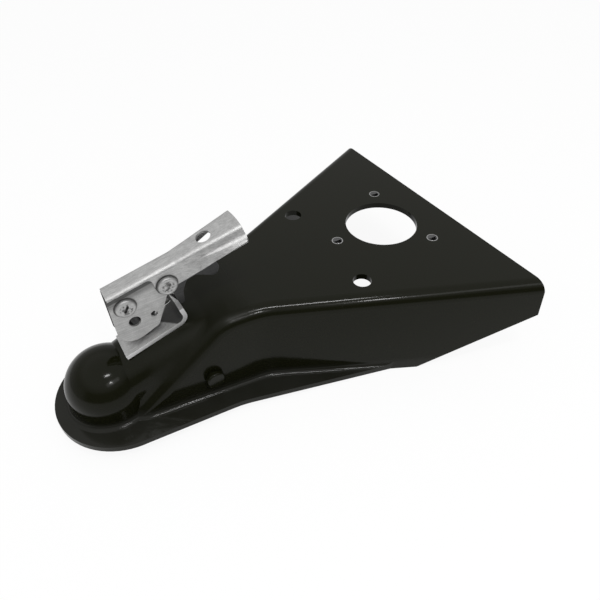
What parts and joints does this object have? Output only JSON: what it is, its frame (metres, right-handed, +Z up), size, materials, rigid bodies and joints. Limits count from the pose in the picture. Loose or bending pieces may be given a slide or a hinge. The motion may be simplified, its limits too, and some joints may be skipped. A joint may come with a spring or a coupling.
{
  "type": "trailer coupler",
  "caption": "A-frame trailer coupler for a tow ball: pressed black body with dome, lip and folded side walls, ball clamp inside, zinc lever latch with trigger on the neck.",
  "frame": {"origin": "centre of the ball in the socket", "axes": "+X to the rear along the trailer tongue, +Y to the right looking forward from behind the coupler, +Z up, square to the mounting plate"},
  "size_m": [0.3468, 0.2608, 0.1329],
  "materials": {
    "black_paint": "gloss black paint",
    "zinc": "bright zinc plate",
    "zinc_dull": "dull zinc plate",
    "spring_wire": "spring steel",
    "clamp_casting": "black oxide",
    "nylon": "nylon"
  },
  "bodies": {
    "frame": {"coupler_body": "black_paint", "latch_seat": "zinc", "clamp_pivot_pin": "black_paint", "pin_washer": "black_paint", "spring_washer": "zinc_dull", "clamp_spring": "spring_wire"},
    "stud": {"clamp_stud": "zinc_dull", "stud_washer": "zinc_dull", "lock_nut": "zinc_dull", "nut_insert": "nylon"},
    "lever": {"lever": "zinc", "left_cam_plate": "zinc", "right_cam_plate": "zinc", "lever_rivet": "zinc", "trigger_rivet": "zinc", "trigger_sleeve": "zinc_dull", "trigger_spring": "spring_wire"},
    "clamp": {"ball_clamp": "clamp_casting", "clamp_bushing": "zinc_dull"},
    "trigger": {"trigger": "black_paint"}
  },
  "joints": [
    {"name": "stud_slide", "type": "slide", "parent": "frame", "child": "stud", "axis": [0.2588, 0, -0.9659], "range_m": [0, 0.0072]},
    {"name": "lever_turn", "type": "hinge", "parent": "stud", "child": "lever", "pos_m": [0.02824, 0, 0.06944], "axis": [0, -1, 0], "range_deg": [0, 80]},
    {"name": "clamp_turn", "type": "hinge", "parent": "frame", "child": "clamp", "pos_m": [0.069, 0, 0.001], "axis": [0, -1, 0], "range_deg": [0, 18.2], "deforming": ["clamp_spring"]},
    {"name": "trigger_turn", "type": "hinge", "parent": "lever", "child": "trigger", "pos_m": [0.05847, 0, 0.07641], "axis": [0, -1, 0], "range_deg": [0, 14], "stiffness_Nm_per_rad": 0.3, "deforming": ["trigger_spring"]}
  ],
  "couplings": [
    {"joint": "lever_turn", "follows": "stud_slide", "rad_per_m": 193.91},
    {"joint": "clamp_turn", "follows": "stud_slide", "rad_per_m": 44.114}
  ]
}
